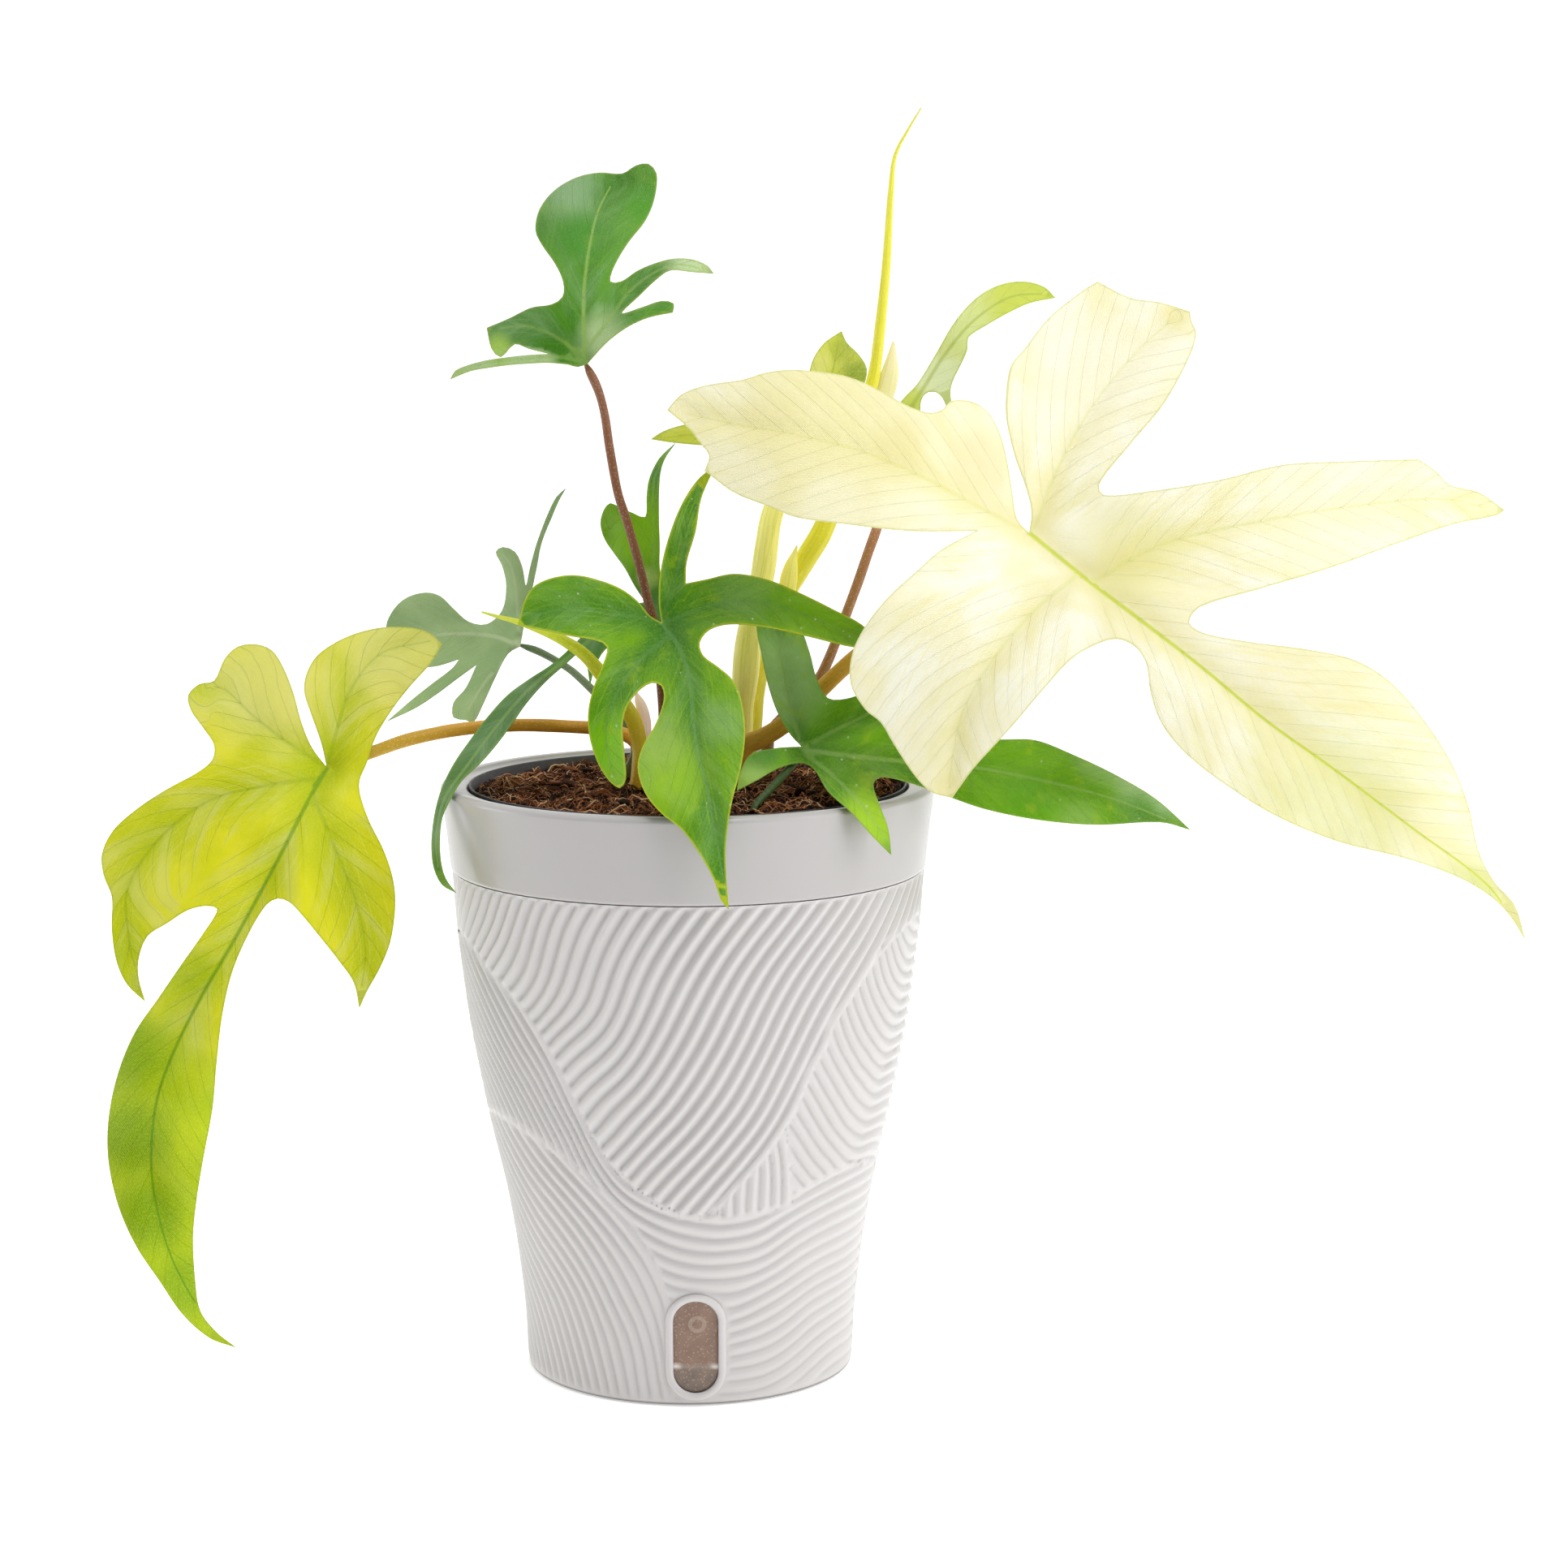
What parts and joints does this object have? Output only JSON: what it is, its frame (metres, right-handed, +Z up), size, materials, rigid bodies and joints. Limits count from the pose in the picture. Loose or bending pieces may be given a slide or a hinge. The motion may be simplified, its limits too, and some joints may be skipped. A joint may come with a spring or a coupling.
{
  "type": "florida ghost philodendron in pot",
  "caption": "Potted philodendron with deeply cut lobed leaves, one pale cream, standing in a round tapered self-watering pot.",
  "frame": {"origin": "centre of the pot's flat base, on the surface it stands on", "axes": "+Z up along the pot's axis, front with the water window towards -Y, widest spread of the leaves along X"},
  "size_m": [0.4317, 0.1658, 0.3885],
  "materials": {
    "white_plastic": "satin moulded white",
    "clear_plastic": "clear, misted from inside",
    "dark_grey_plastic": "moulded dark grey",
    "coir_soil": "damp coir and bark fibre",
    "stem_bark": "dull green-brown stem skin",
    "cream_leaf": "waxy cream leaf",
    "lime_leaf": "waxy lime leaf",
    "green_leaf": "waxy green leaf",
    "leaf_underside": "dull grey-green leaf underside",
    "yellow_green_leaf": "waxy yellow-green leaf",
    "brown_stalk": "speckled red-brown stalk skin",
    "olive_stalk": "olive-brown stalk skin",
    "yellow_shoot": "smooth yellow young shoot"
  },
  "bodies": {
    "root": {"pot_body": "white_plastic", "pot_rim": "white_plastic", "water_window": "clear_plastic", "grow_pot": "dark_grey_plastic", "soil": "coir_soil", "stem_left": "stem_bark", "stem_right": "stem_bark", "leaf_ghost": "cream_leaf", "stalk_ghost": "olive_stalk", "leaf_lime": "lime_leaf", "stalk_lime": "brown_stalk", "leaf_centre": "green_leaf", "stalk_centre": "olive_stalk", "leaf_lower": "green_leaf", "stalk_lower": "olive_stalk", "leaf_top": "green_leaf", "stalk_top": "brown_stalk", "leaf_back": "leaf_underside", "stalk_back": "olive_stalk", "leaf_hind": "green_leaf", "stalk_hind": "olive_stalk", "leaf_far_right": "yellow_green_leaf", "stalk_far_right": "brown_stalk", "leaf_far_left": "yellow_green_leaf", "stalk_far_left": "yellow_shoot", "new_leaf_spike": "yellow_shoot", "rolled_shoot": "yellow_shoot"}
  },
  "joints": []
}
